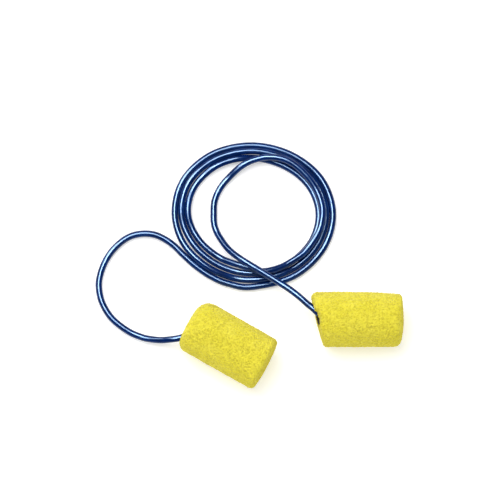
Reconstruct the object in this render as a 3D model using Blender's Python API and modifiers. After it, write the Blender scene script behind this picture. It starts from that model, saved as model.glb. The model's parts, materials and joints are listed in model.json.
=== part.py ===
"""Corded foam ear plugs: two roll-down foam plugs joined by one loosely coiled vinyl cord.

Units are metres, +Z is up and the set lies on the plane z = 0. The origin is on that plane, under
the middle of the box around the two plugs. Each plug hangs from an empty at its pivot, the place in
the plug's torn slit where the cord bends. In the empty's own axes +X leads out of the foam towards
the cord, +Y lies across the plug and +Z is up.
"""

import math

import bmesh
import bpy
from mathutils import Vector

MM = 0.001

# Driving dimensions of the cord.
CORD_RADIUS = 0.75 * MM
GAP = 0.3 * MM
ROUTE_STEP = 3.2 * MM
CURVE_STEPS = 24
STRAIGHT_START = 1.6 * MM

# The coil's outer shape: an oval ring, one cord high with a little for the turn that lies on top.
COIL_OUTER_CENTRE = (-8.69 * MM, 29.49 * MM)
COIL_OUTER_RADII = (18.6 * MM, 16.75 * MM)
COIL_INNER_CENTRE = (-8.94 * MM, 29.79 * MM)
COIL_INNER_RADII = (13.75 * MM, 12.2 * MM)
COIL_HEIGHT = 1.7 * MM
COIL_POINTS = 56

# The slit in each plug's cord end, and the blind hole behind it that holds the glued cord.
FACE_ABOVE_PIVOT = 0.5 * MM
SLIT_HALF_HEIGHT = 1.0 * MM
SLIT_BELOW_PIVOT = 0.8 * MM
SLIT_CUTTER_LENGTH = 4.0 * MM
GLUE_WALL = 0.4 * MM
EMBEDDED_LENGTH = 9.0 * MM

# How finely the round solids are faceted, and how far one cutter reaches into the other.
TURN_STEPS = 44
ARC_STEPS = 4
SIDE_STEPS = 4
CUTTER_SIDES = 24
CUTTER_OVERLAP = 0.1 * MM
WELD_DISTANCE = 0.01 * MM

# Each plug: the pivot, the heading of its +X axis, where the foam's own axis lies from the pivot
# (across, up), half the width of its slit, its length and radii, its corner radii, the slant of
# its cord end and of its tip, and how far its middle bows sideways.
PLUGS = {
    "left": {
        "pivot": Vector((-23.85, 1.37, 3.60)) * MM,
        "heading": math.radians(150.1),
        "axis_offset": (-2.7 * MM, 2.52 * MM),
        "slit_half_width": 2.05 * MM,
        "length": 19.75 * MM,
        "cord_radius": 6.25 * MM,
        "tip_radius": 6.18 * MM,
        "crown": 0.0,
        "cord_corner": 2.3 * MM,
        "tip_corner": 1.0 * MM,
        "slant": 0.03,
        "tip_slant": 0.03,
        "bow": 0.0,
    },
    "right": {
        "pivot": Vector((5.81, 6.18, 6.35)) * MM,
        "heading": math.radians(179.2),
        "axis_offset": (1.48 * MM, -0.33 * MM),
        "slit_half_width": 2.95 * MM,
        "length": 19.4 * MM,
        "cord_radius": 6.10 * MM,
        "tip_radius": 5.95 * MM,
        "crown": 0.14 * MM,
        "cord_corner": 0.9 * MM,
        "tip_corner": 1.2 * MM,
        "slant": math.tan(math.radians(15.0)),
        "tip_slant": 0.0,
        "bow": 0.14 * MM,
    },
}

# The cord's way out of each slit, and its loose stretches, in millimetres.
LEFT_EXIT_HEADING = math.radians(198.0)
LEFT_LOOP_ROUTE = [
    (-27.14, 0.64, 3.3), (-29.44, 0.62, 2.3), (-31.64, 0.95, 1.5), (-33.84, 1.5, 1.0),
    (-37.03, 2.97, 0.75), (-40.64, 5.88, 0.75), (-42.87, 9.58, 0.75), (-43.59, 13.29, 0.75),
    (-43.14, 16.33, 0.75), (-41.85, 19.46, 0.75), (-39.73, 22.31, 0.75), (-36.83, 24.51, 0.75),
    (-33.64, 25.29, 0.75), (-30.44, 24.87, 0.75), (-27.14, 22.97, 0.75), (-24.42, 20.34, 0.75),
    (-21.51, 17.72, 0.75),
]
RIGHT_EXIT_HEADING = math.radians(136.1)
RIGHT_LEAD_ROUTE = [
    (3.61, 8.19, 6.0), (1.96, 9.79, 5.45), (-0.04, 11.47, 4.7), (-2.04, 12.86, 3.8),
    (-4.04, 14.19, 3.1), (-6.44, 15.69, 2.75), (-8.44, 16.89, 2.75), (-10.64, 18.39, 2.75),
    (-12.64, 19.94, 2.7), (-14.34, 21.49, 1.8), (-15.64, 23.29, 0.95), (-16.84, 25.39, 0.75),
    (-17.54, 27.49, 0.75), (-17.64, 29.84, 0.75), (-17.54, 32.29, 0.75), (-16.84, 34.49, 0.75),
    (-15.64, 36.69, 0.75), (-13.94, 38.69, 0.75), (-11.94, 40.29, 0.75),
]


def clear_scene():
    """Remove every object of the open file."""
    for obj in list(bpy.data.objects):
        bpy.data.objects.remove(obj, do_unlink=True)


def make_collection(name):
    """A new collection in the scene."""
    collection = bpy.data.collections.new(name)
    bpy.context.scene.collection.children.link(collection)
    return collection


def make_material(name, colour, roughness):
    """A Principled material of one colour."""
    material = bpy.data.materials.new(name)
    material.use_nodes = True
    shader = material.node_tree.nodes["Principled BSDF"]
    shader.inputs["Base Color"].default_value = (*colour, 1.0)
    shader.inputs["Roughness"].default_value = roughness
    shader.inputs["Metallic"].default_value = 0.0
    material.diffuse_color = (*colour, 1.0)
    return material


def add_object(name, data, collection, material=None):
    """Put new object data in a collection, with its material."""
    obj = bpy.data.objects.new(name, data)
    collection.objects.link(obj)
    if material is not None:
        obj.data.materials.append(material)
    return obj


def arc(centre, radius, start, end, steps):
    """Points on a round corner of a profile, angles in degrees."""
    points = []
    for i in range(steps + 1):
        angle = math.radians(start + (end - start) * i / steps)
        points.append((centre[0] + radius * math.cos(angle), centre[1] + radius * math.sin(angle)))
    return points


def turned_object(name, profile, collection, material=None):
    """A solid turned about its own Z axis from (radius, height) points, top first."""
    mesh = bpy.data.meshes.new(name)
    corners = [(radius, 0.0, height) for radius, height in profile]
    edges = [(i, i + 1) for i in range(len(corners) - 1)]
    mesh.from_pydata(corners, edges, [])
    obj = add_object(name, mesh, collection, material)
    screw = obj.modifiers.new("turn", "SCREW")
    screw.angle = 2 * math.pi
    screw.steps = TURN_STEPS
    screw.render_steps = TURN_STEPS
    screw.use_merge_vertices = True
    screw.merge_threshold = WELD_DISTANCE
    screw.use_smooth_shade = True
    return obj


def bake_modifiers(obj):
    """Replace an object's mesh by its evaluated mesh."""
    bpy.context.view_layer.update()
    evaluated = obj.evaluated_get(bpy.context.evaluated_depsgraph_get())
    mesh = bpy.data.meshes.new_from_object(evaluated)
    mesh.name = obj.name
    obj.modifiers.clear()
    obj.data = mesh


def plug_profile(plug):
    """The foam's outline from the middle of its cord end round to the middle of its tip."""
    length = plug["length"]
    top = plug["cord_corner"]
    bottom = plug["tip_corner"]
    profile = [(0.0, 0.0)]
    profile += arc((plug["cord_radius"] - top, -top), top, 90, 0, ARC_STEPS)
    for i in range(1, SIDE_STEPS):
        share = i / SIDE_STEPS
        radius = plug["cord_radius"] + (plug["tip_radius"] - plug["cord_radius"]) * share
        radius += plug["crown"] * math.sin(math.pi * share)
        profile.append((radius, -top - (length - top - bottom) * share))
    profile += arc((plug["tip_radius"] - bottom, -length + bottom), bottom, 0, -90, ARC_STEPS)
    profile.append((0.0, -length))
    return profile


def shape_foam(foam, plug):
    """Lay the turned foam along +X, slant its ends, bow it, set it off the pivot, flatten its underside."""
    across, up = plug["axis_offset"]
    face = FACE_ABOVE_PIVOT - plug["slant"] * across
    half_length = plug["length"] / 2
    for vertex in foam.data.vertices:
        sideways, height, along = vertex.co
        middle = along / half_length + 1.0
        slant = plug["slant"] if middle > 0.0 else plug["tip_slant"]
        x = along + face + slant * sideways * abs(middle)
        y = across - sideways - plug["bow"] * max(0.0, 1.0 - middle ** 2)
        vertex.co = (x, y, max(up + height, -plug["pivot"].z))
    foam.data.update()


def stadium_cutter(name, half_width, collection):
    """A flat slot with round ends that runs along +X through the cord end's face."""
    bm = bmesh.new()
    bmesh.ops.create_cone(
        bm, cap_ends=True, segments=CUTTER_SIDES, depth=1.0,
        radius1=SLIT_HALF_HEIGHT, radius2=SLIT_HALF_HEIGHT,
    )
    stretch = half_width - SLIT_HALF_HEIGHT
    for vertex in bm.verts:
        sideways, height, along = vertex.co
        if abs(sideways) > WELD_DISTANCE:
            sideways += math.copysign(stretch, sideways)
        vertex.co = ((along + 0.5) * SLIT_CUTTER_LENGTH - SLIT_BELOW_PIVOT, sideways, height)
    mesh = bpy.data.meshes.new(name)
    bm.to_mesh(mesh)
    bm.free()
    return add_object(name, mesh, collection)


def bore_cutter(name, radius, depth, collection):
    """A round cutter for the blind hole, from just inside the slot down to its bottom."""
    bm = bmesh.new()
    bmesh.ops.create_cone(
        bm, cap_ends=True, segments=CUTTER_SIDES, radius1=radius, radius2=radius, depth=1.0
    )
    top = -SLIT_BELOW_PIVOT + CUTTER_OVERLAP
    for vertex in bm.verts:
        sideways, height, along = vertex.co
        vertex.co = (top - (0.5 - along) * (depth + top), sideways, height)
    mesh = bpy.data.meshes.new(name)
    bm.to_mesh(mesh)
    bm.free()
    return add_object(name, mesh, collection)


def cut(obj, cutter):
    """Take a cutter out of an object with a Boolean modifier, and show the cutter as wire."""
    modifier = obj.modifiers.new("cut_" + cutter.name, "BOOLEAN")
    modifier.operation = "DIFFERENCE"
    modifier.solver = "EXACT"
    modifier.object = cutter
    cutter.hide_render = True
    cutter.display_type = "WIRE"


def foam_plug(side, plug, pivot, parts, cutters, material):
    """The foam body with its slit and its blind hole."""
    foam = turned_object(side + "_foam_plug", plug_profile(plug), parts, material)
    bake_modifiers(foam)
    shape_foam(foam, plug)
    slot = stadium_cutter(side + "_slit_cutter", plug["slit_half_width"], cutters)
    glue_radius = CORD_RADIUS + GAP + GLUE_WALL
    bore_depth = EMBEDDED_LENGTH + GAP + GLUE_WALL + GAP
    bore = bore_cutter(side + "_bore_cutter", glue_radius + GAP, bore_depth, cutters)
    for piece in (foam, slot, bore):
        piece.parent = pivot
    cut(foam, slot)
    cut(foam, bore)


def cord_end(side, pivot, parts, material):
    """The stretch of cord held in the foam, with a ball at the pivot that the free cord turns about."""
    profile = arc((0.0, 0.0), CORD_RADIUS, 90, 0, ARC_STEPS)
    profile[0] = (0.0, CORD_RADIUS)
    profile += [(CORD_RADIUS, -EMBEDDED_LENGTH), (0.0, -EMBEDDED_LENGTH)]
    end = turned_object(side + "_cord_end", profile, parts, material)
    end.rotation_euler = (0.0, math.pi / 2, 0.0)
    end.parent = pivot


def adhesive_bond(side, pivot, parts, material):
    """The cured glue round the embedded cord: a thin cup in the blind hole."""
    inner = CORD_RADIUS + GAP
    outer = inner + GLUE_WALL
    rim = -SLIT_BELOW_PIVOT - GAP
    floor = -EMBEDDED_LENGTH - GAP
    base = floor - GLUE_WALL
    profile = [(0.0, floor), (inner, floor), (inner, rim), (outer, rim), (outer, base), (0.0, base)]
    bond = turned_object(side + "_adhesive_bond", profile, parts, material)
    bond.rotation_euler = (0.0, math.pi / 2, 0.0)
    bond.parent = pivot


def smooth_curve(points):
    """Closely spaced points on a Catmull-Rom curve through the route's points, none below the table."""
    padded = [points[0] * 2 - points[1], *points, points[-1] * 2 - points[-2]]
    curve = []
    for before, start, end, after in zip(padded, padded[1:], padded[2:], padded[3:]):
        for i in range(CURVE_STEPS):
            t = i / CURVE_STEPS
            curve.append(0.5 * (
                2 * start + (end - before) * t
                + (2 * before - 5 * start + 4 * end - after) * t ** 2
                + (3 * start - before - 3 * end + after) * t ** 3
            ))
    curve.append(points[-1])
    for point in curve:
        point.z = max(point.z, CORD_RADIUS)
    return curve


def evenly_spaced(curve, step):
    """Points about one step apart along a densely sampled curve, with both of its ends."""
    travelled = [0.0]
    for first, second in zip(curve, curve[1:]):
        travelled.append(travelled[-1] + (second - first).length)
    count = round(travelled[-1] / step)
    route = []
    i = 0
    for n in range(count + 1):
        target = travelled[-1] * n / count
        while i < len(curve) - 2 and travelled[i + 1] < target:
            i += 1
        share = (target - travelled[i]) / (travelled[i + 1] - travelled[i])
        route.append(curve[i].lerp(curve[i + 1], share))
    return route


def exit_points(plug, heading):
    """The cord's straight start: one gap off the pivot's ball, and a little further out."""
    way_out = Vector((math.cos(heading), math.sin(heading), 0.0))
    return [plug["pivot"] + way_out * distance for distance in (CORD_RADIUS + GAP, STRAIGHT_START)]


def outside_coil(point):
    """Whether a cord centred on a point stays one gap outside the coil's outer wall."""
    reach = CORD_RADIUS + GAP
    across = (point.x - COIL_OUTER_CENTRE[0]) / (COIL_OUTER_RADII[0] + reach)
    along = (point.y - COIL_OUTER_CENTRE[1]) / (COIL_OUTER_RADII[1] + reach)
    return across ** 2 + along ** 2 > 1.0


def cord_tube(name, points, parts, material):
    """A round cord along a polyline."""
    curve = bpy.data.curves.new(name, "CURVE")
    curve.dimensions = "3D"
    curve.bevel_depth = CORD_RADIUS
    curve.bevel_resolution = 2
    curve.use_fill_caps = True
    spline = curve.splines.new("POLY")
    spline.points.add(len(points) - 1)
    for place, point in zip(spline.points, points):
        place.co = (*point, 1.0)
    add_object(name, curve, parts, material)


def coil_ring(parts, material):
    """The closed outer shape of the coil's turns: an oval ring that lies flat."""
    curve = bpy.data.curves.new("cord_coil", "CURVE")
    curve.dimensions = "2D"
    curve.fill_mode = "BOTH"
    curve.extrude = COIL_HEIGHT / 2
    walls = ((COIL_OUTER_CENTRE, COIL_OUTER_RADII), (COIL_INNER_CENTRE, COIL_INNER_RADII))
    for centre, radii in walls:
        spline = curve.splines.new("POLY")
        spline.points.add(COIL_POINTS - 1)
        for i, place in enumerate(spline.points):
            angle = 2 * math.pi * i / COIL_POINTS
            x = centre[0] + radii[0] * math.cos(angle)
            y = centre[1] + radii[1] * math.sin(angle)
            place.co = (x, y, 0.0, 1.0)
        spline.use_cyclic_u = True
    ring = add_object("cord_coil", curve, parts, material)
    ring.location.z = COIL_HEIGHT / 2


def main():
    clear_scene()
    parts = make_collection("corded_foam_ear_plugs")
    cutters = make_collection("cutters")
    foam_colour = make_material("yellow_foam", (0.80, 0.72, 0.10), 0.95)
    cord_colour = make_material("blue_vinyl", (0.02, 0.08, 0.20), 0.25)
    glue_colour = make_material("clear_adhesive", (0.85, 0.82, 0.66), 0.35)

    for side, plug in PLUGS.items():
        pivot = bpy.data.objects.new(side + "_plug_pivot", None)
        parts.objects.link(pivot)
        pivot.location = plug["pivot"]
        pivot.rotation_euler.z = plug["heading"]
        foam_plug(side, plug, pivot, parts, cutters, foam_colour)
        cord_end(side, pivot, parts, cord_colour)
        adhesive_bond(side, pivot, parts, glue_colour)

    left_route = exit_points(PLUGS["left"], LEFT_EXIT_HEADING)
    left_route += [Vector(point) * MM for point in LEFT_LOOP_ROUTE]
    left_curve = [point for point in smooth_curve(left_route) if outside_coil(point)]
    cord_tube("cord_left_loop", evenly_spaced(left_curve, ROUTE_STEP), parts, cord_colour)

    right_route = exit_points(PLUGS["right"], RIGHT_EXIT_HEADING)
    right_route += [Vector(point) * MM for point in RIGHT_LEAD_ROUTE]
    right_curve = smooth_curve(right_route)
    cord_tube("cord_right_lead", evenly_spaced(right_curve, ROUTE_STEP), parts, cord_colour)

    coil_ring(parts, cord_colour)


main()
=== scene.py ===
"""The looks of the corded foam ear plugs: yellow roll-down foam and one glossy blue vinyl cord.

Lengths are in metres unless a name says millimetres. The plugs' places come from the frame's joints.
The cord's route repeats the route of the frame's own cord solids.
"""

import json
import math
import random

import bpy
import numpy as np
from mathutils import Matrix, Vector, kdtree, noise


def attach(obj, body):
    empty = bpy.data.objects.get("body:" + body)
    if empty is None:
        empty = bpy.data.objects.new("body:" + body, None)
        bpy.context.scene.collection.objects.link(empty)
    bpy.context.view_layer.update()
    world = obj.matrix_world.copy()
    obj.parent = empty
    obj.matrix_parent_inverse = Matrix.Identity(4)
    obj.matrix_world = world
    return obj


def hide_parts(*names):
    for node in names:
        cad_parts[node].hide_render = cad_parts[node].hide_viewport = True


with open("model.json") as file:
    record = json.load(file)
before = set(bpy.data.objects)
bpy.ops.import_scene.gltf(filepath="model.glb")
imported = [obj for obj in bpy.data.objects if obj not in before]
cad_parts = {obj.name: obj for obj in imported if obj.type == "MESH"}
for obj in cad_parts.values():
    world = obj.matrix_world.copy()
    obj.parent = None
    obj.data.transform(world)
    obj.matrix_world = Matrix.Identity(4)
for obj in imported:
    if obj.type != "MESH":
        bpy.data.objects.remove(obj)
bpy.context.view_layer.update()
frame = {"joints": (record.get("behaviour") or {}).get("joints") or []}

MM = 0.001

# ---------------------------------------------------------------- camera

VIEW_ELEVATION = math.radians(80.0)
VIEW_LENS_MM = 800.0
VIEW_SENSOR_MM = 36.0
VIEW_WIDTH = 113.1 * MM
VIEW_TARGET = Vector((-9.43, 21.68, 0.0)) * MM
VIEW_NEAR = 0.01
VIEW_FAR = 10.0


def make_camera():
    """A long lens that looks down at the table from the front."""
    data = bpy.data.cameras.new("camera")
    data.lens = VIEW_LENS_MM
    data.sensor_width = VIEW_SENSOR_MM
    data.clip_start = VIEW_NEAR
    data.clip_end = VIEW_FAR
    camera = bpy.data.objects.new("camera", data)
    bpy.context.scene.collection.objects.link(camera)
    back = Vector((0.0, -math.cos(VIEW_ELEVATION), math.sin(VIEW_ELEVATION)))
    camera.location = VIEW_TARGET + back * (VIEW_WIDTH * VIEW_LENS_MM / VIEW_SENSOR_MM)
    camera.rotation_euler = (math.pi / 2 - VIEW_ELEVATION, 0.0, 0.0)
    bpy.context.scene.camera = camera


# ---------------------------------------------------------------- the cord's route

CORD_RADIUS = 0.75 * MM
CORD_DIAMETER = 2 * CORD_RADIUS
LYING_MM = CORD_RADIUS / MM
CURVE_STEPS = 24
CORD_STEP = 0.4 * MM
CORD_SIDES = 24
STRAIGHT_START = 1.6 * MM

# The cord comes down from the left plug's slit to the table and runs round one loop to the coil.
LEFT_EXIT_HEADING = math.radians(198.0)
LEFT_LOOP_ROUTE_MM = [
    (-27.14, 0.64, 3.3), (-29.44, 0.62, 2.3), (-31.64, 0.95, 1.5), (-33.84, 1.5, 1.0),
    (-37.03, 2.97, 0.75), (-40.64, 5.88, 0.75), (-42.87, 9.58, 0.75), (-43.59, 13.29, 0.75),
    (-43.14, 16.33, 0.75), (-41.85, 19.46, 0.75), (-39.73, 22.31, 0.75), (-36.83, 24.51, 0.75),
    (-33.64, 25.29, 0.75), (-30.44, 24.87, 0.75), (-27.14, 22.97, 0.75), (-24.42, 20.34, 0.75),
    (-21.51, 17.72, 0.75), (-18.14, 15.42, 0.75), (-14.34, 13.82, 0.75),
]

# The three full turns of the coil are an oval spiral that winds inwards from its front. Each point of
# a turn strays outwards from it a little, as wound by hand. The points go anticlockwise from the
# front, seen from above.
COIL_CENTRE_MM = (-8.94, 29.93)
COIL_RADII_MM = (18.65, 16.5)
COIL_PITCH_MM = 1.5
COIL_POINTS_A_TURN = 12
COIL_STRAY_MM = [
    [0.35, 0.24, 0.10, 0.0, -0.12, -0.28, -0.10, 0.18, 0.20, 0.0, 0.0, 0.10],
    [0.32, 0.20, 0.05, 0.0, -0.12, -0.20, 0.02, 0.25, 0.28, 0.0, -0.32, -0.10],
    [0.32, 0.15, -0.05, -0.22, -0.35, -0.35, 0.0, 0.25, 0.25, 0.0, -0.40, -0.20],
]

# The last turn climbs over the third and lies between the second and third. It then leaves the coil
# for the smaller loop inside it. Points without a height lie flat on the table, and the cord is
# lifted from there wherever it crosses itself.
LAST_TURN_ROUTE_MM = [
    (-9.44, 17.03), (-6.77, 16.27), (-4.31, 16.64), (-1.84, 17.58), (1.23, 19.47), (2.92, 20.79),
    (4.75, 23.1), (6.26, 25.85), (6.96, 29.31), (6.84, 31.59), (6.06, 34.15), (4.87, 36.33),
    (3.28, 38.41), (1.13, 40.44), (-1.04, 41.77), (-3.3, 42.43), (-5.91, 42.57), (-8.45, 42.03),
    (-10.21, 41.3), (-11.98, 40.16),
]
INNER_LOOP_ROUTE_MM = [
    (-13.84, 38.52), (-15.57, 36.62), (-16.84, 34.49), (-17.54, 32.29), (-17.64, 29.84),
    (-17.54, 27.49),
]

# The lead rises from the inner loop, crosses the coil's front and goes up into the right plug's slit.
RIGHT_LEAD_ROUTE_MM = [
    (-16.84, 25.39, 0.95), (-15.64, 23.29, 1.80), (-14.34, 21.42, 2.83), (-12.64, 19.79, 3.64),
    (-10.64, 18.33, 4.17), (-8.44, 16.9, 4.44), (-6.44, 15.66, 4.56), (-4.04, 14.14, 4.67),
    (-2.04, 12.86, 4.80), (-0.04, 11.47, 5.04), (1.96, 9.79, 5.45), (3.61, 8.19, 6.0),
]
RIGHT_EXIT_HEADING = math.radians(136.1)

# Where the cord crosses itself it goes over in a long low hump, as its stiffness makes it.
HUMP_BEND_RADIUS = 12.0 * MM
HUMP_BLUR = 0.9 * MM
NEAR_ALONG_CORD = 4.0 * MM
LAYING_PASSES = 5


def joint_pivot(name):
    """The place of a joint of the frame."""
    for joint in frame["joints"]:
        if joint["name"] == name:
            return Vector(joint["pos_m"])
    raise KeyError(name)


def coil_points():
    """The coil's turns, flat on the table, in millimetres."""
    points = []
    for turn, strays in enumerate(COIL_STRAY_MM):
        for i, stray in enumerate(strays):
            share = i / COIL_POINTS_A_TURN
            angle = 2 * math.pi * share - math.pi / 2
            outward = stray - COIL_PITCH_MM * (turn + share)
            x = COIL_CENTRE_MM[0] + (COIL_RADII_MM[0] + outward) * math.cos(angle)
            y = COIL_CENTRE_MM[1] + (COIL_RADII_MM[1] + outward) * math.sin(angle)
            points.append((x, y, LYING_MM))
    return points


def smooth_curve(points):
    """Closely spaced points on a Catmull-Rom curve through the route's points."""
    padded = [points[0] * 2 - points[1], *points, points[-1] * 2 - points[-2]]
    curve = []
    for before, start, end, after in zip(padded, padded[1:], padded[2:], padded[3:]):
        for i in range(CURVE_STEPS):
            t = i / CURVE_STEPS
            curve.append(0.5 * (
                2 * start + (end - before) * t
                + (2 * before - 5 * start + 4 * end - after) * t ** 2
                + (3 * start - before - 3 * end + after) * t ** 3
            ))
    curve.append(points[-1])
    return np.array(curve)


def evenly_spaced(curve, step):
    """Points about one step apart along a densely sampled curve, and how far along each one is."""
    travelled = np.concatenate([[0.0], np.cumsum(np.linalg.norm(np.diff(curve, axis=0), axis=1))])
    count = round(travelled[-1] / step)
    along = np.linspace(0.0, travelled[-1], count + 1)
    route = np.stack([np.interp(along, travelled, curve[:, i]) for i in range(3)], axis=1)
    return route, along


def draped(support, along):
    """A stiff cord's heights over what supports it: long low humps that never sink below it."""
    apart = along[:, None] - along[None, :]
    hump = (support[None, :] - apart ** 2 / (2 * HUMP_BEND_RADIUS)).max(axis=1)
    weights = np.exp(-0.5 * (apart / HUMP_BLUR) ** 2)
    blurred = weights @ hump / weights.sum(axis=1)
    return np.maximum(blurred + HUMP_BLUR ** 2 / (2 * HUMP_BEND_RADIUS), CORD_RADIUS)


def lay_on_itself(route, along):
    """Raise each stretch of the route onto the stretches that were laid before it."""
    plan = route[:, :2]
    held_up = np.maximum(route[:, 2], CORD_RADIUS)
    apart = np.linalg.norm(plan[:, None, :] - plan[None, :, :], axis=2)
    earlier = along[None, :] < along[:, None] - NEAR_ALONG_CORD
    over = earlier & (apart < CORD_DIAMETER)
    rise = np.where(over, np.sqrt(np.clip(CORD_DIAMETER ** 2 - apart ** 2, 0.0, None)), -1.0)
    height = held_up.copy()
    for _ in range(LAYING_PASSES):
        resting = np.where(over, height[None, :] + rise, 0.0).max(axis=1)
        height = np.maximum(draped(np.maximum(resting, CORD_RADIUS), along), held_up)
    route[:, 2] = height
    return route


def cord_route():
    """The whole cord's centreline, from the pivot in the left plug to the pivot in the right one."""
    left = joint_pivot("left_plug_swing")
    right = joint_pivot("right_plug_swing")
    left_out = Vector((math.cos(LEFT_EXIT_HEADING), math.sin(LEFT_EXIT_HEADING), 0.0))
    right_out = Vector((math.cos(RIGHT_EXIT_HEADING), math.sin(RIGHT_EXIT_HEADING), 0.0))
    points = [left, left + left_out * STRAIGHT_START]
    points += [Vector(point) * MM for point in LEFT_LOOP_ROUTE_MM]
    points += [Vector(point) * MM for point in coil_points()]
    points += [Vector((*point, LYING_MM)) * MM for point in LAST_TURN_ROUTE_MM + INNER_LOOP_ROUTE_MM]
    points += [Vector(point) * MM for point in RIGHT_LEAD_ROUTE_MM]
    points += [right + right_out * STRAIGHT_START, right]
    route, along = evenly_spaced(smooth_curve(points), CORD_STEP)
    return lay_on_itself(route, along), along


# ---------------------------------------------------------------- mesh helpers

def mesh_object(name, points, faces, smooth=True):
    """A mesh object in the scene, from points and faces."""
    mesh = bpy.data.meshes.new(name)
    mesh.from_pydata([tuple(point) for point in points], [], faces)
    mesh.polygons.foreach_set("use_smooth", [smooth] * len(mesh.polygons))
    mesh.update()
    obj = bpy.data.objects.new(name, mesh)
    bpy.context.scene.collection.objects.link(obj)
    return obj


def ring_faces(rings, sides, closed_start=True, closed_end=True):
    """Faces of a skin over rings of points; a closed end is a fan round one extra point."""
    faces = []
    for ring in range(rings - 1):
        for side in range(sides):
            here = ring * sides + side
            beside = ring * sides + (side + 1) % sides
            faces.append((here, beside, beside + sides, here + sides))
    first = rings * sides
    if closed_start:
        faces += [(first, (side + 1) % sides, side) for side in range(sides)]
        first += 1
    if closed_end:
        last = (rings - 1) * sides
        faces += [(first, last + side, last + (side + 1) % sides) for side in range(sides)]
    return faces


def tube_object(name, centres, radii, sides):
    """A round tube along a centreline, with a point at the middle of each end."""
    centres = np.asarray(centres)
    forward = np.gradient(centres, axis=0)
    forward /= np.linalg.norm(forward, axis=1)[:, None]
    side = np.cross(forward[0], (0.0, 0.0, 1.0))
    angles = np.arange(sides) * 2 * math.pi / sides
    rings = []
    for centre, ahead, radius in zip(centres, forward, radii):
        side = side - ahead * side.dot(ahead)
        side = side / np.linalg.norm(side)
        up = np.cross(side, ahead)
        rings.append(centre + radius * (np.outer(np.cos(angles), side) + np.outer(np.sin(angles), up)))
    points = np.concatenate([*rings, centres[:1], centres[-1:]])
    faces = ring_faces(len(centres), sides)
    return mesh_object(name, points, [tuple(reversed(face)) for face in faces])


# ---------------------------------------------------------------- the cord

CORD_BALL_STEPS = 6
BALL_OPENING_STEPS = 0.3
CORD_WOBBLE = 0.012
CORD_WOBBLE_SPAN = 5 * MM


def cord_radii(along):
    """The cord's radius along its length, with the faint unevenness of extruded vinyl."""
    radii = []
    for distance in along:
        wobble = noise.noise(Vector((distance / CORD_WOBBLE_SPAN, 0.0, 0.0)))
        radii.append(CORD_RADIUS * (1.0 + CORD_WOBBLE * wobble))
    return radii


def ball_end(pivot, away):
    """Ring centres and radii of the half ball that rounds off the cord past its pivot."""
    centres = []
    radii = []
    for i in range(1, CORD_BALL_STEPS + 1):
        angle = math.pi / 2 * i / (CORD_BALL_STEPS + BALL_OPENING_STEPS)
        centres.append(pivot + away * CORD_RADIUS * math.sin(angle))
        radii.append(CORD_RADIUS * math.cos(angle))
    return centres, radii


def make_cord(material):
    """The free cord, from plug to plug."""
    route, along = cord_route()
    radii = cord_radii(along)
    start_away = (route[0] - route[1]) / np.linalg.norm(route[0] - route[1])
    end_away = (route[-1] - route[-2]) / np.linalg.norm(route[-1] - route[-2])
    start_centres, start_radii = ball_end(route[0], start_away)
    end_centres, end_radii = ball_end(route[-1], end_away)
    centres = [*reversed(start_centres), *route, *end_centres]
    radii = [*reversed(start_radii), *radii, *end_radii]
    cord = tube_object("vinyl_cord", centres, radii, CORD_SIDES)
    cord.data.materials.append(material)
    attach(cord, "cord")
    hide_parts("cord_coil", "cord_left_loop", "cord_right_lead")


# ---------------------------------------------------------------- the foam plugs

FOAM_SIDES = 320
RING_STEP = 0.125 * MM
RING_ANGLES = np.arange(FOAM_SIDES) * 2 * math.pi / FOAM_SIDES
UNIT_CIRCLE = np.stack([np.cos(RING_ANGLES), np.sin(RING_ANGLES)], axis=1)
RIM_TURN = math.pi / 4
TIP_POINT_BEYOND = 0.02 * MM

# The slit in the cord end: a ragged lens with torn walls, which narrows to its floor.
FACE_ABOVE_PIVOT = 0.5 * MM
SLIT_BELOW_PIVOT = 0.8 * MM
SLIT_HALF_HEIGHT = 0.95 * MM
SLIT_LENS_POWER = 0.85
SLIT_RAGGED = 0.2 * MM
SLIT_FLOOR_WIDTH = 0.72
SLIT_FLOOR_HEIGHT = 1.05
SLIT_FLOOR_RAGGED = 0.5
SLIT_FLOOR_SEED_STEP = 2
SLIT_FLOOR_RINGS = 3
TEAR_WAVES = 3.0
FINE_TEAR_WAVES = 9.0
FINE_TEAR_SHARE = 0.6
FINE_TEAR_SEED_STEP = 5.0
LEAST_TEAR_SIZE_SHARE = 0.5
LIP_ROUND = 0.25 * MM
LIP_ROUND_POWER = 4
LIP_TUCK = 0.04 * MM

# The empty end of the right slit gapes: its upper lip stands back.
GAPE_REACH = 1.5 * MM
GAPE_RISE = 0.3 * MM
GAPE_MIDDLE_SHARE = 0.5
GAPE_HALF_SHARE = 0.56
GAPE_SQUARENESS = 4
GAPE_MEAN = 0.85
GAPE_TORN = 0.8
GAPE_TORN_SPAN = 0.45 * MM

# The bore behind the slit, and the glued end of the cord in it. Each ring of the bore has its depth
# and its share of the bore's radius.
GLUE_RADIUS = 1.2 * MM
GLUE_GAP = 0.02 * MM
BORE_RADIUS = GLUE_RADIUS + GLUE_GAP
BORE_DEPTH = 9.7 * MM
BORE_RINGS = ((BORE_DEPTH, 0.4), (BORE_DEPTH, 1.0), (BORE_DEPTH * 0.6, 1.0), (2.4 * MM, 1.0))
CORD_END_DEPTH = 9.0 * MM
CORD_END_STEPS = 12
CORD_END_TAPER = 0.94

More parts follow.
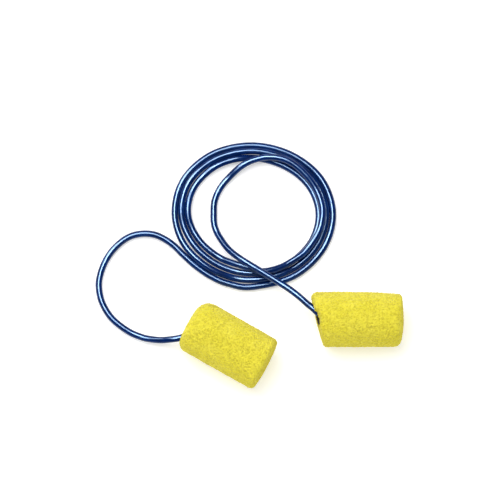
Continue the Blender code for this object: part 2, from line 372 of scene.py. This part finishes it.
# The foam's open skin: pores of mixed sizes, a slow swell and a fine grain.
PORES_PER_MM2 = 8.0
PORE_RADIUS = (0.11 * MM, 0.24 * MM)
PORE_SMALL_BIAS = 2.5
PORE_DEPTH_SHARE = 0.65
PORE_LEAST_DEPTH = 0.6
SWELL = 0.07 * MM
SWELL_SPAN = 5 * MM
GRAIN = 0.035 * MM
GRAIN_SPAN = 0.45 * MM
GRAIN_DIMENSION = 0.8
GRAIN_LACUNARITY = 2.2
GRAIN_OCTAVES = 3
# How much painted shade the edge of the slit's lips gets.
LIP_EDGE_SHADE = 0.8

# heading is where the cord end faces, and axis_offset is the foam's middle from the pivot, across
# and up. Each corner has its mean radius, how much that varies round the rim, and which side has
# the most. slant and tip_slant lean the two ends, bow bends the side, and crown and tip_dome swell
# the side and the tip.
PLUGS = {
    "left": {
        "heading": math.radians(150.1),
        "axis_offset": (-2.7 * MM, 2.52 * MM),
        "slit_half_width": 2.0 * MM,
        "gape": 0.0,
        "length": 19.75 * MM,
        "cord_radius": 6.25 * MM,
        "tip_radius": 6.18 * MM,
        "crown": 0.0,
        "cord_corner": (2.7 * MM, 0.7 * MM, math.radians(180.0)),
        "tip_corner": (1.0 * MM, 0.1 * MM, 0.0),
        "slant": 0.03,
        "tip_slant": 0.03,
        "bow": 0.0,
        "tip_dome": 0.10 * MM,
        "seed": 11,
    },
    "right": {
        "heading": math.radians(179.2),
        "axis_offset": (1.48 * MM, -0.33 * MM),
        "slit_half_width": 3.3 * MM,
        "gape": 0.65 * MM,
        "length": 19.4 * MM,
        "cord_radius": 6.10 * MM,
        "tip_radius": 5.95 * MM,
        "crown": 0.14 * MM,
        "cord_corner": (1.05 * MM, 0.45 * MM, math.radians(180.0)),
        "tip_corner": (1.35 * MM, 0.5 * MM, 0.0),
        "slant": math.tan(math.radians(15.0)),
        "tip_slant": 0.0,
        "bow": 0.14 * MM,
        "tip_dome": 0.35 * MM,
        "seed": 23,
    },
}


def steps_for(length):
    """How many rings a stretch of foam needs."""
    return max(2, round(length / RING_STEP))


def slit_outline(width, height, ragged, seed):
    """The slit's ragged lens shape across the plug: points (across, up) round the pivot."""
    outline = []
    for angle in RING_ANGLES:
        cosine = math.cos(angle)
        sine = math.sin(angle)
        torn = noise.noise(Vector((cosine * TEAR_WAVES, sine * TEAR_WAVES, seed)))
        fine_place = (cosine * FINE_TEAR_WAVES, sine * FINE_TEAR_WAVES, seed + FINE_TEAR_SEED_STEP)
        torn += FINE_TEAR_SHARE * noise.noise(Vector(fine_place))
        across = width * cosine
        up = height * math.copysign(abs(sine) ** SLIT_LENS_POWER, sine)
        size = math.hypot(across, up)
        stretch = 1.0 + ragged * torn / max(size, height * LEAST_TEAR_SIZE_SHARE)
        outline.append((across * stretch, up * stretch))
    return np.array(outline)


def gaped(points, plug):
    """The foam with the empty end of its slit hanging open: the lip above it stands back a little."""
    width = plug["slit_half_width"]
    shift = []
    for outward, across, up in points:
        from_middle = (across - width * GAPE_MIDDLE_SHARE) / (width * GAPE_HALF_SHARE)
        inside = 1.0 - from_middle ** GAPE_SQUARENESS
        torn = noise.noise(Vector((across / GAPE_TORN_SPAN, plug["seed"], 0.0)))
        open_share = GAPE_MEAN + GAPE_TORN * torn
        above = min(max(up / GAPE_RISE, 0.0), 1.0)
        near = min(max(1.0 + outward / GAPE_REACH, 0.0), 1.0)
        shift.append(plug["gape"] * math.sqrt(max(inside, 0.0)) * open_share * above * near)
    points = points.copy()
    points[:, 0] -= shift
    return points


def plug_axis(plug):
    """The middle of the foam, (across, up) from its pivot."""
    return np.array(plug["axis_offset"])


def corner_radius(plug, corner, plane):
    """The radius of a rounded corner at each of a ring's (across, up) points."""
    mean, variation, most = plug[corner]
    from_axis = plane - plug_axis(plug)
    way = np.arctan2(from_axis[:, 1], from_axis[:, 0])
    return mean + variation * np.cos(way - most)


def foam_radius(plug, share):
    """The foam's radius at a share of its length from the cord end."""
    straight = plug["cord_radius"] + (plug["tip_radius"] - plug["cord_radius"]) * share
    return straight + plug["crown"] * math.sin(math.pi * min(max(share, 0.0), 1.0))


def foam_ring(plug, plane, along):
    """A ring from its (across, up) points and its distance along the axis, slanted and bowed."""
    axis_across = plug["axis_offset"][0]
    half_length = plug["length"] / 2
    face = FACE_ABOVE_PIVOT - plug["slant"] * axis_across
    sideways = axis_across - plane[:, 0]
    middle = along + half_length
    lean = np.where(middle > 0.0, plug["slant"], plug["tip_slant"])
    slant = lean * np.abs(middle) / half_length
    bend = plug["bow"] * np.clip(1.0 - (middle / half_length) ** 2, 0.0, 1.0)
    return np.column_stack([along + face + slant * sideways, plane[:, 0] - bend, plane[:, 1]])


def face_ring(plug, plane):
    """A ring on the cord end, which falls back towards its rounded rim."""
    size = corner_radius(plug, "cord_corner", plane)
    beyond = np.linalg.norm(plane - plug_axis(plug), axis=1) - (foam_radius(plug, 0.0) - size)
    beyond = np.clip(beyond, 0.0, size)
    return foam_ring(plug, plane, np.sqrt(size ** 2 - beyond ** 2) - size)


def flat_ring(outward, plane):
    """A ring square to the axis, at one distance outward from the pivot."""
    return np.column_stack([np.full(FOAM_SIDES, outward), plane])


def slit_rings(plug):
    """The rings from the bottom of the bore, out over the slit's floor and up its torn walls."""
    width = plug["slit_half_width"]
    lip = slit_outline(width, SLIT_HALF_HEIGHT, SLIT_RAGGED, plug["seed"])
    floor = slit_outline(
        width * SLIT_FLOOR_WIDTH, SLIT_HALF_HEIGHT * SLIT_FLOOR_HEIGHT,
        SLIT_RAGGED * SLIT_FLOOR_RAGGED, plug["seed"] + SLIT_FLOOR_SEED_STEP,
    )
    rings = [flat_ring(-depth, UNIT_CIRCLE * BORE_RADIUS * share) for depth, share in BORE_RINGS]
    bore_mouth = UNIT_CIRCLE * BORE_RADIUS
    for i in range(SLIT_FLOOR_RINGS):
        share = i / SLIT_FLOOR_RINGS
        rings.append(flat_ring(-SLIT_BELOW_PIVOT, bore_mouth * (1 - share) + floor * share))
    lip_ring = face_ring(plug, lip * (1 + LIP_ROUND / width))
    away = lip / np.linalg.norm(lip, axis=1)[:, None]
    wall_steps = steps_for(FACE_ABOVE_PIVOT + SLIT_BELOW_PIVOT)
    for i in range(wall_steps + 1):
        share = i / wall_steps
        plane = floor * (1 - share) + lip * share
        plane = plane + away * LIP_ROUND * share ** LIP_ROUND_POWER
        outward = -SLIT_BELOW_PIVOT * (1 - share) + (lip_ring[:, 0] - LIP_TUCK) * share
        rings.append(np.column_stack([outward, plane]))
    return rings


def cord_end_rings(plug, lip_plane):
    """The rings from the slit's lip across the cord end and round its rim."""
    axis = plug_axis(plug)
    corner = corner_radius(plug, "cord_corner", axis + UNIT_CIRCLE)
    full_radius = foam_radius(plug, 0.0)
    rim_plane = axis + UNIT_CIRCLE * (full_radius - corner * (1 - math.sin(RIM_TURN)))[:, None]
    rings = []
    face_steps = steps_for(full_radius - SLIT_HALF_HEIGHT)
    for i in range(1, face_steps + 1):
        share = i / face_steps
        rings.append(face_ring(plug, lip_plane * (1 - share) + rim_plane * share))
    corner_steps = steps_for(plug["cord_corner"][0] * (math.pi / 2 - RIM_TURN))
    for i in range(1, corner_steps + 1):
        turn = RIM_TURN + (math.pi / 2 - RIM_TURN) * i / corner_steps
        radius = full_radius - corner * (1 - math.sin(turn))
        along = -corner * (1 - math.cos(turn))
        rings.append(foam_ring(plug, axis + UNIT_CIRCLE * radius[:, None], along))
    return rings


def side_rings(plug):
    """The rings along the foam's side, between its two rims."""
    axis = plug_axis(plug)
    cord_corner = corner_radius(plug, "cord_corner", axis + UNIT_CIRCLE)
    tip_corner = corner_radius(plug, "tip_corner", axis + UNIT_CIRCLE)
    rim_end = plug["length"] - plug["tip_dome"]
    rings = []
    side_steps = steps_for(plug["length"])
    for i in range(1, side_steps):
        share = i / side_steps
        along = -cord_corner * (1 - share) - (rim_end - tip_corner) * share
        rings.append(foam_ring(plug, axis + UNIT_CIRCLE * foam_radius(plug, share), along))
    return rings


def tip_rings(plug):
    """The rings round the tip's rim and in over its low dome."""
    axis = plug_axis(plug)
    corner = corner_radius(plug, "tip_corner", axis + UNIT_CIRCLE)
    full_radius = foam_radius(plug, 1.0)
    rim_end = plug["length"] - plug["tip_dome"]
    rings = []
    corner_steps = steps_for(plug["tip_corner"][0] * math.pi / 2)
    for i in range(corner_steps + 1):
        turn = math.pi / 2 * i / corner_steps
        radius = full_radius - corner * (1 - math.cos(turn))
        along = -rim_end + corner * (1 - math.sin(turn))
        rings.append(foam_ring(plug, axis + UNIT_CIRCLE * radius[:, None], along))
    end_plane = UNIT_CIRCLE * (full_radius - corner)[:, None]
    end_steps = steps_for(plug["tip_radius"])
    for i in range(1, end_steps):
        share = i / end_steps
        along = -rim_end - plug["tip_dome"] * share * (2 - share)
        rings.append(foam_ring(plug, axis + end_plane * (1 - share), np.full(FOAM_SIDES, along)))
    return rings


def foam_rings(plug):
    """The foam's rings from the bottom of its bore, out of the slit and round to its tip.

    Each ring is an array of (outward, across, up) in the plug's own axes, round its pivot. The
    second value is how many of the rings lie in the bore and the slit.
    """
    rings = slit_rings(plug)
    bore_and_slit_rings = len(rings)
    lip_plane = rings[-1][:, 1:]
    rings += cord_end_rings(plug, lip_plane) + side_rings(plug) + tip_rings(plug)
    if plug["gape"] > 0.0:
        rings = [gaped(points, plug) for points in rings]
    return rings, bore_and_slit_rings


def local_to_world(points, plug, pivot):
    """Points from the plug's own axes to the frame's."""
    cosine, sine = math.cos(plug["heading"]), math.sin(plug["heading"])
    x = points[:, 0] * cosine - points[:, 1] * sine
    y = points[:, 0] * sine + points[:, 1] * cosine
    return np.column_stack([x, y, points[:, 2]]) + np.array(pivot)


def vertex_arrays(mesh):
    """A mesh's points and normals as arrays."""
    points = np.zeros(len(mesh.vertices) * 3)
    normals = np.zeros(len(mesh.vertices) * 3)
    mesh.vertices.foreach_get("co", points)
    mesh.vertex_normals.foreach_get("vector", normals)
    return points.reshape(-1, 3), normals.reshape(-1, 3)


def pore_depths(points, open_skin, seed):
    """How deep each point of the skin lies in a pore, from pores scattered at random."""
    chooser = random.Random(seed)
    tree = kdtree.KDTree(len(points))
    for i, point in enumerate(points):
        tree.insert(point, i)
    tree.balance()
    depths = np.zeros(len(points))
    smallest, largest = PORE_RADIUS
    candidates = np.flatnonzero(open_skin)
    area_mm2 = len(candidates) * (RING_STEP / MM) ** 2
    for _ in range(round(PORES_PER_MM2 * area_mm2)):
        centre = points[candidates[chooser.randrange(len(candidates))]]
        share = chooser.random()
        radius = smallest + (largest - smallest) * share ** PORE_SMALL_BIAS
        fullness = PORE_LEAST_DEPTH + (1.0 - PORE_LEAST_DEPTH) * chooser.random()
        depth = radius * PORE_DEPTH_SHARE * fullness
        for _, i, distance in tree.find_range(centre, radius):
            depths[i] = max(depths[i], depth * (1.0 - (distance / radius) ** 2))
    return depths


def roughen_foam(foam, plug, skin_start):
    """Swell and dent the foam a little and press its open pores into the skin."""
    mesh = foam.data
    points, normals = vertex_arrays(mesh)
    skin = np.arange(len(points)) >= skin_start
    depths = pore_depths(points, skin, plug["seed"])
    shift = np.zeros(len(points))
    for i in np.flatnonzero(skin):
        place = Vector(points[i])
        swell = noise.noise(place / SWELL_SPAN + Vector((plug["seed"], 0, 0)))
        grain = noise.fractal(
            place / GRAIN_SPAN, GRAIN_DIMENSION, GRAIN_LACUNARITY, GRAIN_OCTAVES,
        )
        shift[i] = SWELL * swell + GRAIN * grain
    points = points + normals * (shift - depths)[:, None]
    points[:, 2] = np.maximum(points[:, 2], 0.0)
    mesh.vertices.foreach_set("co", points.ravel())
    # Painted shade in the pores: this attribute darkens the colour the deeper a point lies in a pore.
    pore_shade = mesh.attributes.new("pore_shade", "FLOAT", "POINT")
    pore_shade.data.foreach_set("value", np.clip(depths / (PORE_RADIUS[1] * PORE_DEPTH_SHARE), 0.0, 1.0))
    mesh.update()


def paint_slit_shade(foam, bore_and_slit_rings):
    """Paint shade on the bore and the slit's walls, and a little less on the edge of its lips."""
    shade = np.zeros(len(foam.data.vertices))
    shade[:bore_and_slit_rings * FOAM_SIDES] = 1.0
    shade[bore_and_slit_rings * FOAM_SIDES:(bore_and_slit_rings + 1) * FOAM_SIDES] = LIP_EDGE_SHADE
    # This attribute is painted shade: it colours the bore, the slit's walls and its lip edge near
    # black.
    torn = foam.data.attributes.new("torn", "FLOAT", "POINT")
    torn.data.foreach_set("value", shade)


def make_foam_plug(side, material):
    """One foam plug with its torn slit, its bore and its pores."""
    plug = PLUGS[side]
    pivot = joint_pivot(side + "_plug_swing")
    rings, bore_and_slit_rings = foam_rings(plug)
    start = np.array([[-BORE_DEPTH, 0.0, 0.0]])
    tip = rings[-1].mean(axis=0)[None, :] - np.array([[TIP_POINT_BEYOND, 0.0, 0.0]])
    points = local_to_world(np.concatenate([*rings, start, tip]), plug, pivot)
    points[:, 2] = np.maximum(points[:, 2], 0.0)
    foam = mesh_object(side + "_foam", points, ring_faces(len(rings), FOAM_SIDES))
    roughen_foam(foam, plug, skin_start=(len(BORE_RINGS) + SLIT_FLOOR_RINGS) * FOAM_SIDES)
    paint_slit_shade(foam, bore_and_slit_rings)
    foam.data.materials.append(material)
    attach(foam, side + "_plug")
    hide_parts(side + "_foam_plug")


def make_cord_end(side, material):
    """The end of the cord that is glued into the foam."""
    plug = PLUGS[side]
    pivot = joint_pivot(side + "_plug_swing")
    inward = np.array([-math.cos(plug["heading"]), -math.sin(plug["heading"]), 0.0])
    ball_centres, ball_radii = ball_end(np.array(pivot), -inward)
    straight = []
    for i in range(CORD_END_STEPS + 1):
        straight.append(np.array(pivot) + inward * CORD_END_DEPTH * i / CORD_END_STEPS)
    centres = [*reversed(ball_centres), *straight]
    radii = [*reversed(ball_radii), *[CORD_RADIUS] * CORD_END_STEPS, CORD_RADIUS * CORD_END_TAPER]
    end = tube_object(side + "_embedded_cord", centres, radii, CORD_SIDES)
    end.data.materials.append(material)
    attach(end, side + "_plug")
    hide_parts(side + "_cord_end")


# The cured glue is a thin cup round the cord. Its tops and its rim are this far below the pivot.
GLUE_SIDES = 40
GLUE_STEPS = 8
GLUE_ROUND = 0.1 * MM
GLUE_INNER_TOP = 1.05 * MM
GLUE_RIM_INNER = 0.98 * MM
GLUE_RIM_OUTER = 1.0 * MM
GLUE_OUTER_TOP = 1.15 * MM
GLUE_OUTER_SHORTER = 1.3 * MM
GLUE_HOLE_SHARE = 0.3
GLUE_BOTTOM_SHARE = 0.5
GLUE_RIM_BELOW = 1.2 * MM
GLUE_RIM_UNEVEN = 0.12 * MM
GLUE_RIM_WAVES = 2


def glue_profile():
    """The glue cup's profile: (radius, outward) from the inside of its floor to the outside."""
    inner = CORD_RADIUS + GLUE_GAP
    depth = CORD_END_DEPTH + GLUE_GAP
    profile = [(inner * GLUE_HOLE_SHARE, -depth), (inner, -depth)]
    for i in range(1, GLUE_STEPS + 1):
        profile.append((inner, -depth + (depth - GLUE_INNER_TOP) * i / GLUE_STEPS))
    profile.append((inner + GLUE_ROUND, -GLUE_RIM_INNER))
    profile.append((GLUE_RADIUS - GLUE_ROUND, -GLUE_RIM_OUTER))
    profile.append((GLUE_RADIUS, -GLUE_OUTER_TOP))
    for i in range(1, GLUE_STEPS + 1):
        down = (BORE_DEPTH - GLUE_OUTER_SHORTER) * i / GLUE_STEPS
        profile.append((GLUE_RADIUS, -GLUE_OUTER_TOP - down))
    profile.append((GLUE_RADIUS * GLUE_BOTTOM_SHARE, -BORE_DEPTH + GLUE_ROUND))
    return profile


def glue_ring(radius, outward, seed):
    """One ring of the glue cup; its rim is uneven."""
    ring = []
    for i in range(GLUE_SIDES):
        angle = 2 * math.pi * i / GLUE_SIDES
        waves = (math.cos(angle) * GLUE_RIM_WAVES, math.sin(angle) * GLUE_RIM_WAVES, seed)
        rim = GLUE_RIM_UNEVEN * noise.noise(Vector(waves))
        drift = rim if outward > -GLUE_RIM_BELOW else 0.0
        ring.append((outward + drift, radius * math.cos(angle), radius * math.sin(angle)))
    return np.array(ring)


def make_adhesive(side, material):
    """The cured glue round the embedded cord: a thin cup with an uneven rim."""
    plug = PLUGS[side]
    pivot = joint_pivot(side + "_plug_swing")
    rings = [glue_ring(radius, outward, plug["seed"]) for radius, outward in glue_profile()]
    inside_point = (-CORD_END_DEPTH - GLUE_GAP, 0.0, 0.0)
    outside_point = (-BORE_DEPTH + GLUE_ROUND, 0.0, 0.0)
    caps = np.array([inside_point, outside_point])
    points = local_to_world(np.concatenate([*rings, caps]), plug, pivot)
    bond = mesh_object(side + "_glue", points, ring_faces(len(rings), GLUE_SIDES))
    bond.data.materials.append(material)
    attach(bond, side + "_plug")
    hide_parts(side + "_adhesive_bond")


# ---------------------------------------------------------------- materials

def new_material(name):
    """A new node material, its node tree and its shader."""
    material = bpy.data.materials.new(name)
    material.use_nodes = True
    tree = material.node_tree
    return material, tree, tree.nodes["Principled BSDF"]


def add_node(tree, kind, **settings):
    """A node with some of its properties and inputs set."""
    node = tree.nodes.new(kind)
    for name, value in settings.items():
        if name in node.inputs:
            node.inputs[name].default_value = value
        else:
            setattr(node, name, value)
    return node


def object_place(tree):
    """The point on the surface in the object's own coordinates, in metres."""
    return tree.nodes.new("ShaderNodeTexCoord").outputs["Object"]


def textured(tree, kind, place, scale, **settings):
    """A texture node that reads the surface's place."""
    node = add_node(tree, kind, Scale=scale, **settings)
    tree.links.new(place, node.inputs["Vector"])
    return node


def ramp(tree, source, stops):
    """A colour ramp with (position, colour) stops."""
    node = tree.nodes.new("ShaderNodeValToRGB")
    elements = node.color_ramp.elements
    while len(elements) < len(stops):
        elements.new(0.5)
    for element, (position, colour) in zip(elements, stops):
        element.position = position
        element.color = (*colour, 1.0)
    tree.links.new(source, node.inputs["Fac"])
    return node.outputs["Color"]


def mixed(tree, share, first, second, blend="MIX"):
    """Two colours mixed; each of the inputs is a socket or a value."""
    node = tree.nodes.new("ShaderNodeMix")
    node.data_type = "RGBA"
    node.blend_type = blend
    for socket, value in (("Factor", share), ("A", first), ("B", second)):
        target = [s for s in node.inputs if s.name == socket and s.enabled][0]
        if isinstance(value, bpy.types.NodeSocket):
            tree.links.new(value, target)
        elif isinstance(value, tuple):
            target.default_value = (*value, 1.0)
        else:
            target.default_value = value
    return [s for s in node.outputs if s.enabled][0]


def attribute_value(tree, name):
    """The value of one of the mesh's own attributes."""
    node = tree.nodes.new("ShaderNodeAttribute")
    node.attribute_name = name
    return node.outputs["Fac"]


def bump(tree, height, distance, strength):
    """A bump node that reads a height."""
    node = add_node(tree, "ShaderNodeBump", Strength=strength, Distance=distance)
    tree.links.new(height, node.inputs["Height"])
    return node


# Colours are linear, and the scales of textures are in cells or waves to a metre.
FOAM_TONES = [
    (0.30, (0.79, 0.695, 0.034)), (0.52, (0.82, 0.72, 0.045)), (0.72, (0.85, 0.755, 0.062)),
]
FOAM_MOTTLE_SCALE = 260.0
# Painted shade in the fine pits: darker towards each cell's middle, where the cell bump sinks the
# surface.
FOAM_PIT_SHADES = [(0.16, (0.74, 0.70, 0.58)), (0.36, (1.0, 1.0, 1.0))]
FOAM_PIT_SHADE_SHARE = 0.7
FOAM_CELL_SCALE = 1750.0
FOAM_CELL_RELIEF = 0.36 * MM
FOAM_GRAIN_SCALE = 1900.0
FOAM_GRAIN_RELIEF = 0.12 * MM
# Painted shade in the pores, mixed in by how deep each point lies.
PORE_SHADE_COLOUR = (0.62, 0.50, 0.018)
# Painted shade: the near black of the slit's walls and the edge of its lips.
SLIT_SHADE_COLOUR = (0.03, 0.022, 0.006)


def foam_colour(tree, place, cells):
    """The foam's mottled yellow, with painted shade in its fine pits and its pores, and near-black
    painted shade on its slit's walls.
    """
    mottle = textured(
        tree, "ShaderNodeTexNoise", place, FOAM_MOTTLE_SCALE, Detail=4.0, Roughness=0.6,
    )
    colour = ramp(tree, mottle.outputs["Fac"], FOAM_TONES)
    # Painted shade in the fine pits, darker at the cells' middles.
    pit_shade = ramp(tree, cells.outputs["Distance"], FOAM_PIT_SHADES)
    colour = mixed(tree, FOAM_PIT_SHADE_SHARE, colour, pit_shade, "MULTIPLY")
    # Painted shade in the pores.
    colour = mixed(tree, attribute_value(tree, "pore_shade"), colour, PORE_SHADE_COLOUR)
    # Painted shade: the slit's walls and lip edge turn near black.
    return mixed(tree, attribute_value(tree, "torn"), colour, SLIT_SHADE_COLOUR)


def foam_material():
    """Soft yellow foam: mottled, matt, with painted shade in its pores and a fine open grain."""
    material, tree, shader = new_material("yellow_foam")
    place = object_place(tree)
    cells = textured(tree, "ShaderNodeTexVoronoi", place, FOAM_CELL_SCALE, Randomness=1.0)
    tree.links.new(foam_colour(tree, place, cells), shader.inputs["Base Color"])
    shader.inputs["Roughness"].default_value = 0.92
    shader.inputs["Specular IOR Level"].default_value = 0.1
    shader.inputs["Sheen Weight"].default_value = 0.10
    shader.inputs["Sheen Roughness"].default_value = 0.6
    waves = textured(
        tree, "ShaderNodeTexNoise", place, FOAM_GRAIN_SCALE, Detail=2.0, Roughness=0.6,
    )
    grain = bump(tree, waves.outputs["Fac"], FOAM_GRAIN_RELIEF, strength=1.0)
    pits = bump(tree, cells.outputs["Distance"], FOAM_CELL_RELIEF, strength=1.0)
    tree.links.new(grain.outputs["Normal"], pits.inputs["Normal"])
    tree.links.new(pits.outputs["Normal"], shader.inputs["Normal"])
    return material


VINYL_TONES = [
    (0.30, (0.0005, 0.010, 0.073)), (0.55, (0.0008, 0.0165, 0.108)), (0.75, (0.0016, 0.027, 0.15)),
]
VINYL_CLOUD_SCALE = 420.0
VINYL_HAZE_SCALE = 900.0
VINYL_SMOOTHEST = 0.12
VINYL_ROUGHEST = 0.22
VINYL_GLINT = (0.46, 0.70, 1.0, 1.0)
VINYL_RIPPLE_SCALE = 1500.0
VINYL_RIPPLE_RELIEF = 0.03 * MM
VINYL_RIPPLE_STRENGTH = 0.12


def vinyl_material():
    """Glossy deep blue vinyl, a little cloudy, with the faintest unevenness in its gloss."""
    material, tree, shader = new_material("blue_vinyl")
    place = object_place(tree)
    cloud = textured(
        tree, "ShaderNodeTexNoise", place, VINYL_CLOUD_SCALE, Detail=3.0, Roughness=0.55,
    )
    tree.links.new(ramp(tree, cloud.outputs["Fac"], VINYL_TONES), shader.inputs["Base Color"])
    haze = textured(tree, "ShaderNodeTexNoise", place, VINYL_HAZE_SCALE, Detail=2.0)
    gloss = add_node(tree, "ShaderNodeMapRange")
    gloss.inputs["To Min"].default_value = VINYL_SMOOTHEST
    gloss.inputs["To Max"].default_value = VINYL_ROUGHEST
    tree.links.new(haze.outputs["Fac"], gloss.inputs["Value"])
    tree.links.new(gloss.outputs["Result"], shader.inputs["Roughness"])
    shader.inputs["IOR"].default_value = 1.5
    shader.inputs["Specular Tint"].default_value = VINYL_GLINT
    waves = textured(tree, "ShaderNodeTexNoise", place, VINYL_RIPPLE_SCALE, Detail=2.0)
    ripple = bump(tree, waves.outputs["Fac"], VINYL_RIPPLE_RELIEF, VINYL_RIPPLE_STRENGTH)
    tree.links.new(ripple.outputs["Normal"], shader.inputs["Normal"])
    return material


GLUE_TONES = [(0.35, (0.70, 0.62, 0.40)), (0.7, (0.82, 0.77, 0.58))]
GLUE_CLOUD_SCALE = 900.0


def glue_material():
    """Pale amber cured adhesive, a little cloudy."""
    material, tree, shader = new_material("clear_adhesive")
    place = object_place(tree)
    cloud = textured(tree, "ShaderNodeTexNoise", place, GLUE_CLOUD_SCALE, Detail=2.0)
    tree.links.new(ramp(tree, cloud.outputs["Fac"], GLUE_TONES), shader.inputs["Base Color"])
    shader.inputs["Roughness"].default_value = 0.3
    return material


def floor_material():
    """Plain white paper."""
    material, _, shader = new_material("white_paper")
    shader.inputs["Base Color"].default_value = (0.88, 0.88, 0.88, 1.0)
    shader.inputs["Roughness"].default_value = 0.9
    shader.inputs["Specular IOR Level"].default_value = 0.1
    shader.inputs["Emission Color"].default_value = (1.0, 1.0, 1.0, 1.0)
    shader.inputs["Emission Strength"].default_value = 0.33
    return material


# ---------------------------------------------------------------- stage and light

FLOOR_REACH = 3.0
LIGHT_DISTANCE = 0.6
SURROUND_STRENGTH = 0.68


def make_floor():
    """A wide pale floor."""
    near, far = -FLOOR_REACH, FLOOR_REACH
    corners = [(near, near, 0.0), (far, near, 0.0), (far, far, 0.0), (near, far, 0.0)]
    floor = mesh_object("floor", corners, [(0, 1, 2, 3)], smooth=False)
    floor.data.materials.append(floor_material())


def area_light(name, direction, sides, radiance):
    """A softbox that faces the object from a direction."""
    data = bpy.data.lights.new(name, "AREA")
    data.shape = "RECTANGLE"
    data.size, data.size_y = sides
    data.energy = radiance * math.pi * data.size * data.size_y
    light = bpy.data.objects.new(name, data)
    bpy.context.scene.collection.objects.link(light)
    towards = Vector(direction).normalized()
    light.location = VIEW_TARGET + towards * LIGHT_DISTANCE
    light.rotation_mode = "QUATERNION"
    light.rotation_quaternion = towards.to_track_quat("Z", "Y")
    return light


def make_surround():
    """An even white surround, which gives no highlights of its own."""
    world = bpy.data.worlds.new("studio")
    world.use_nodes = True
    background = world.node_tree.nodes["Background"]
    background.inputs["Color"].default_value = (1.0, 1.0, 1.0, 1.0)
    background.inputs["Strength"].default_value = SURROUND_STRENGTH
    bpy.context.scene.world = world
    world.cycles_visibility.glossy = False


def make_light():
    """Soft studio light from above and behind: one softbox lights, and two draw the highlights."""
    make_surround()
    key = area_light(
        "key_softbox", direction=(-0.25, 0.30, 1.0), sides=(0.45, 0.45), radiance=3.75,
    )
    key.visible_glossy = False
    strip = area_light(
        "strip_softbox", direction=(-0.37, 0.37, 0.85), sides=(0.14, 0.80), radiance=26.0,
    )
    strip.visible_diffuse = False
    cross = area_light(
        "cross_softbox", direction=(-0.27, 0.27, 1.0), sides=(0.46, 0.26), radiance=30.0,
    )
    cross.visible_diffuse = False
    bpy.context.scene.view_settings.view_transform = "Standard"


# ---------------------------------------------------------------- assembly

make_camera()
vinyl = vinyl_material()
foam = foam_material()
glue = glue_material()
make_cord(vinyl)
for plug_side in PLUGS:
    make_foam_plug(plug_side, foam)
    make_cord_end(plug_side, vinyl)
    make_adhesive(plug_side, glue)
make_floor()
make_light()
